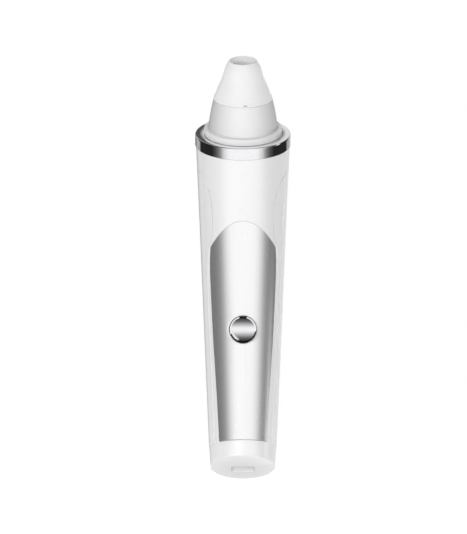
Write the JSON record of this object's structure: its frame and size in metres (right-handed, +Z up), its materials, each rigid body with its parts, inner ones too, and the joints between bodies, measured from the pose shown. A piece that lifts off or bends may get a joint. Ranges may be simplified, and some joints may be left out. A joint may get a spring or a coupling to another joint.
{
  "type": "microdermabrasion device",
  "caption": "Hand-held suction wand for facial skin: curved tapered white body with arched metal panel and push button, chromed collar, frosted pull-off head with pointed suction tip.",
  "frame": {"origin": "on the lowest point of the sloping bottom face, under the middle of the bounding box", "axes": "+Z up along the wand from the end cap to the suction tip, front panel and button face -Y, +X to the right seen from the front"},
  "size_m": [0.041, 0.0519, 0.1818],
  "materials": {
    "white_shell": "smooth moulded gloss",
    "grey_white_shell": "smooth moulded gloss",
    "satin_panel": "satin, polished along its length",
    "white_cap": "smooth moulded gloss",
    "button_chrome": "polished plating",
    "collar_chrome": "polished plating",
    "seat_plastic": "plain moulded",
    "black_rubber": "matt",
    "sponge": "open foam",
    "frosted_plastic": "frosted, lets some light through",
    "tip_plastic": "milky, soft gloss",
    "frame_plastic": "plain moulded",
    "circuit_board": "solder mask",
    "black_parts": "moulded",
    "usb_steel": "stamped sheet",
    "cell_wrap": "shrink sleeve",
    "red_wire": "insulation",
    "screw_steel": "turned",
    "can_steel": "zinc plated",
    "ferrite": "sintered",
    "contact_brass": "stamped",
    "clear_silicone": "soft, smooth"
  },
  "bodies": {
    "body": {"front_shell": "white_shell", "rear_shell": "grey_white_shell", "metal_panel": "satin_panel", "end_cap": "white_cap", "collar_ring": "collar_chrome", "nozzle_seat": "seat_plastic", "nozzle_o_ring": "black_rubber", "filter_sponge": "sponge", "inner_frame": "frame_plastic", "main_board": "circuit_board", "board_parts": "black_parts", "tact_switch": "black_parts", "usb_shell": "usb_steel", "usb_tongue": "black_parts", "battery_cell": "cell_wrap", "battery_leads": "red_wire", "housing_screws": "screw_steel", "board_screws": "screw_steel", "motor_can": "can_steel", "motor_magnets": "ferrite", "motor_end_cap": "seat_plastic", "motor_terminals": "contact_brass", "motor_bushes": "contact_brass", "motor_leads": "red_wire", "motor_sleeve": "black_rubber", "pump_base": "seat_plastic", "pump_diaphragm": "black_rubber", "valve_plate": "seat_plastic", "valve_flaps": "black_rubber", "pump_cover": "seat_plastic", "pump_screws": "screw_steel", "suction_tube": "clear_silicone"},
    "button": {"button_cap": "button_chrome"},
    "switch_plunger": {"switch_stem": "black_parts"},
    "nozzle": {"nozzle_dome": "frosted_plastic"},
    "tip": {"suction_tip": "tip_plastic"},
    "rotor": {"motor_rotor": "ferrite", "motor_shaft": "screw_steel", "pump_eccentric": "seat_plastic", "crank_pin": "screw_steel"},
    "wobbler": {"wobble_plate": "seat_plastic"}
  },
  "joints": [
    {"name": "button_press", "type": "slide", "parent": "body", "child": "button", "axis": [0, 1, 0], "range_m": [0, 0.0003], "stiffness_N_per_m": 800, "springref_m": -0.001},
    {"name": "plunger_press", "type": "slide", "parent": "body", "child": "switch_plunger", "axis": [0, 1, 0], "range_m": [0, 0.0003]},
    {"name": "nozzle_pull", "type": "slide", "parent": "body", "child": "nozzle", "axis": [0, -0.3458, 0.9383], "range_m": [0, 0.02]},
    {"name": "tip_pull", "type": "slide", "parent": "nozzle", "child": "tip", "axis": [0, -0.3458, 0.9383], "range_m": [0, 0.012]},
    {"name": "rotor_spin", "type": "hinge", "parent": "body", "child": "rotor", "pos_m": [0, 0.00489, 0.10846], "axis": [0, -0.191, 0.9816], "continuous": true},
    {"name": "wobble_spin", "type": "hinge", "parent": "rotor", "child": "wobbler", "pos_m": [0, 0.00459, 0.11003], "axis": [0.0872, -0.1903, 0.9779], "continuous": true}
  ],
  "couplings": [
    {"joint": "plunger_press", "follows": "button_press", "ratio": 1},
    {"joint": "wobble_spin", "follows": "rotor_spin", "ratio": -1}
  ]
}
